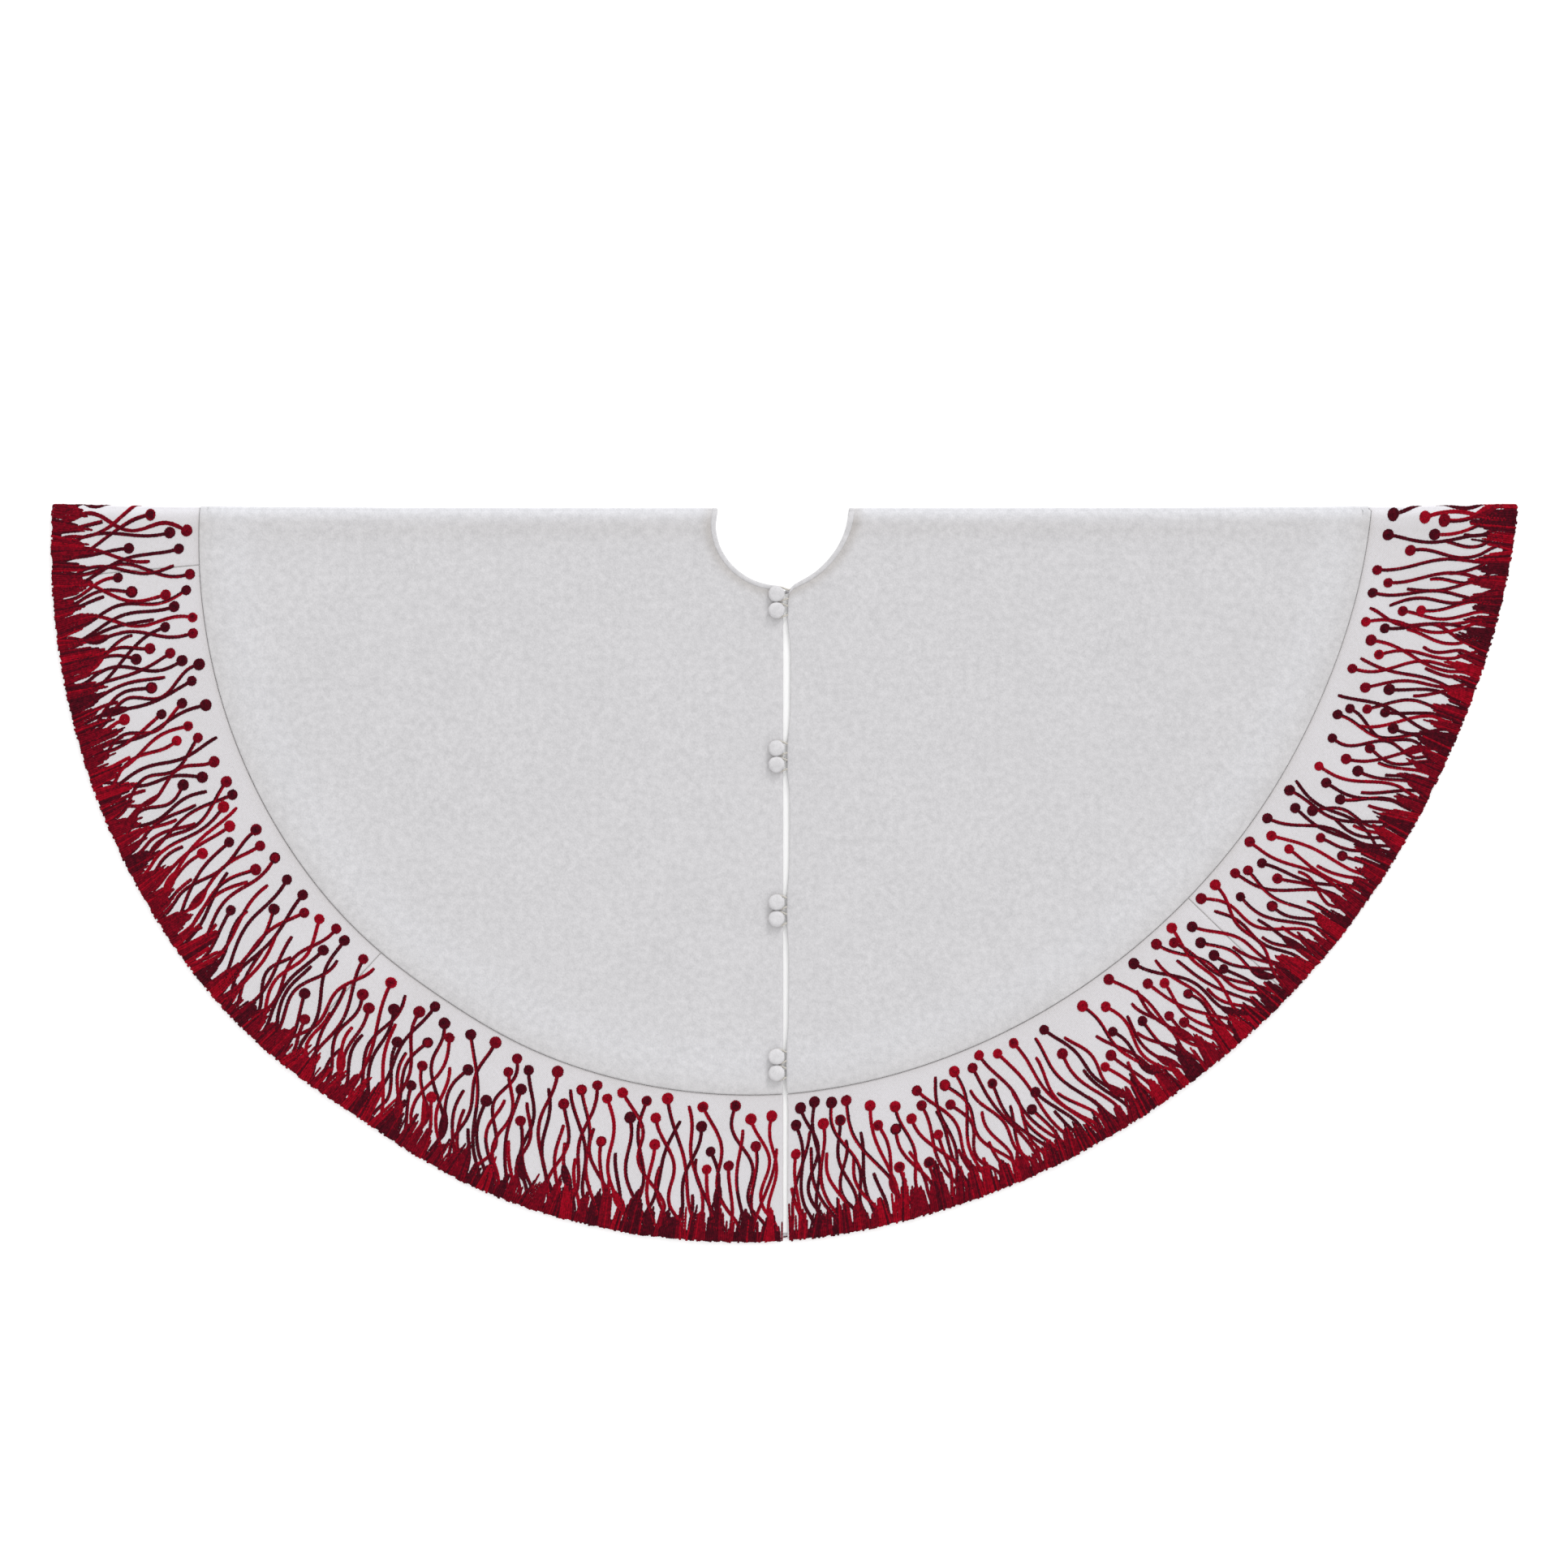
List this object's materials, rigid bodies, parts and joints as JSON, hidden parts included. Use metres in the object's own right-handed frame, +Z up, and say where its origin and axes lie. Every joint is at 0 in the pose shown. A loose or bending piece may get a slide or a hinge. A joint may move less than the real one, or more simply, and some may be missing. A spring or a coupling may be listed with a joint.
{
  "type": "tree skirt",
  "caption": "Round felt tree skirt, folded in half: buttoned slit with cord loops, neck opening, woven border band and dense red yarn-embroidered hem.",
  "frame": {"origin": "centre of the trunk opening, on the fold line, at the height of the surface the folded skirt lies on", "axes": "+Z up from that surface, X along the fold line, -Y from the fold towards the slit's hem end"},
  "size_m": [1.524, 0.7655, 0.0146],
  "materials": {
    "felt_white": "soft brushed wool felt",
    "border_cloth": "fine woven twill",
    "lining_cotton": "plain cotton lining",
    "yarn_bright": "chain-stitched wool yarn, bright red",
    "yarn_mid": "chain-stitched wool yarn, deep red",
    "yarn_dark": "chain-stitched wool yarn, burgundy",
    "button_felt": "felt stretched over a button",
    "button_metal": "plain pressed metal",
    "cord_cream": "round braided elastic cord",
    "thread": "waxed sewing thread"
  },
  "bodies": {
    "front_left": {"front_left_border_1": "border_cloth", "front_left_border_2": "border_cloth", "front_left_edge_embroidery": "yarn_bright", "front_left_facing": "lining_cotton", "front_left_felt_panel": "felt_white", "front_left_lining": "lining_cotton", "front_left_neck_binding": "felt_white", "button_threads": "thread"},
    "back_half": {"back_border_1": "border_cloth", "back_border_2": "border_cloth", "back_border_3": "border_cloth", "back_border_4": "border_cloth", "back_edge_embroidery": "yarn_bright", "back_felt_panel": "felt_white", "back_lining": "lining_cotton", "back_neck_binding": "felt_white", "left_fold_felt": "felt_white", "left_fold_border": "border_cloth", "right_fold_felt": "felt_white", "right_fold_border": "border_cloth"},
    "front_right": {"front_right_border_1": "border_cloth", "front_right_border_2": "border_cloth", "front_right_edge_embroidery": "yarn_bright", "front_right_facing": "lining_cotton", "front_right_felt_panel": "felt_white", "front_right_lining": "lining_cotton", "front_right_neck_binding": "felt_white", "button_loop_1": "cord_cream", "button_loop_2": "cord_cream", "button_loop_3": "cord_cream", "button_loop_4": "cord_cream", "button_loop_5": "cord_cream", "button_loop_6": "cord_cream", "button_loop_7": "cord_cream", "button_loop_8": "cord_cream"},
    "button_1": {"button_1_cover": "button_felt", "button_1_shell": "button_metal", "button_1_back": "button_metal"},
    "button_2": {"button_2_cover": "button_felt", "button_2_shell": "button_metal", "button_2_back": "button_metal"},
    "button_3": {"button_3_cover": "button_felt", "button_3_shell": "button_metal", "button_3_back": "button_metal"},
    "button_4": {"button_4_cover": "button_felt", "button_4_shell": "button_metal", "button_4_back": "button_metal"},
    "button_5": {"button_5_cover": "button_felt", "button_5_shell": "button_metal", "button_5_back": "button_metal"},
    "button_6": {"button_6_cover": "button_felt", "button_6_shell": "button_metal", "button_6_back": "button_metal"},
    "button_7": {"button_7_cover": "button_felt", "button_7_shell": "button_metal", "button_7_back": "button_metal"},
    "button_8": {"button_8_cover": "button_felt", "button_8_shell": "button_metal", "button_8_back": "button_metal"}
  },
  "joints": [
    {"name": "fold_left", "type": "hinge", "parent": "front_left", "child": "back_half", "pos_m": [0, 0, 0.0035], "axis": [1, 0, 0], "range_deg": [0, 180]},
    {"name": "fold_right", "type": "hinge", "parent": "back_half", "child": "front_right", "pos_m": [0, 0, 0.0035], "axis": [-1, 0, 0], "range_deg": [0, 180], "deforming": ["button_loop_1", "button_loop_2", "button_loop_3", "button_loop_4", "button_loop_5", "button_loop_6", "button_loop_7", "button_loop_8"]},
    {"name": "tilt_button_1", "type": "hinge", "parent": "front_left", "child": "button_1", "pos_m": [-0.0095, -0.0895, 0.0083], "axis": [0, 1, 0], "range_deg": [-5, 5], "stiffness_Nm_per_rad": 0.002},
    {"name": "tilt_button_2", "type": "hinge", "parent": "front_left", "child": "button_2", "pos_m": [-0.0095, -0.1065, 0.0083], "axis": [0, 1, 0], "range_deg": [-5, 5], "stiffness_Nm_per_rad": 0.002},
    {"name": "tilt_button_3", "type": "hinge", "parent": "front_left", "child": "button_3", "pos_m": [-0.0095, -0.25, 0.0083], "axis": [0, 1, 0], "range_deg": [-5, 5], "stiffness_Nm_per_rad": 0.002},
    {"name": "tilt_button_4", "type": "hinge", "parent": "front_left", "child": "button_4", "pos_m": [-0.0095, -0.267, 0.0083], "axis": [0, 1, 0], "range_deg": [-5, 5], "stiffness_Nm_per_rad": 0.002},
    {"name": "tilt_button_5", "type": "hinge", "parent": "front_left", "child": "button_5", "pos_m": [-0.0095, -0.4105, 0.0083], "axis": [0, 1, 0], "range_deg": [-5, 5], "stiffness_Nm_per_rad": 0.002},
    {"name": "tilt_button_6", "type": "hinge", "parent": "front_left", "child": "button_6", "pos_m": [-0.0095, -0.4275, 0.0083], "axis": [0, 1, 0], "range_deg": [-5, 5], "stiffness_Nm_per_rad": 0.002},
    {"name": "tilt_button_7", "type": "hinge", "parent": "front_left", "child": "button_7", "pos_m": [-0.0095, -0.571, 0.0083], "axis": [0, 1, 0], "range_deg": [-5, 5], "stiffness_Nm_per_rad": 0.002},
    {"name": "tilt_button_8", "type": "hinge", "parent": "front_left", "child": "button_8", "pos_m": [-0.0095, -0.588, 0.0083], "axis": [0, 1, 0], "range_deg": [-5, 5], "stiffness_Nm_per_rad": 0.002}
  ]
}
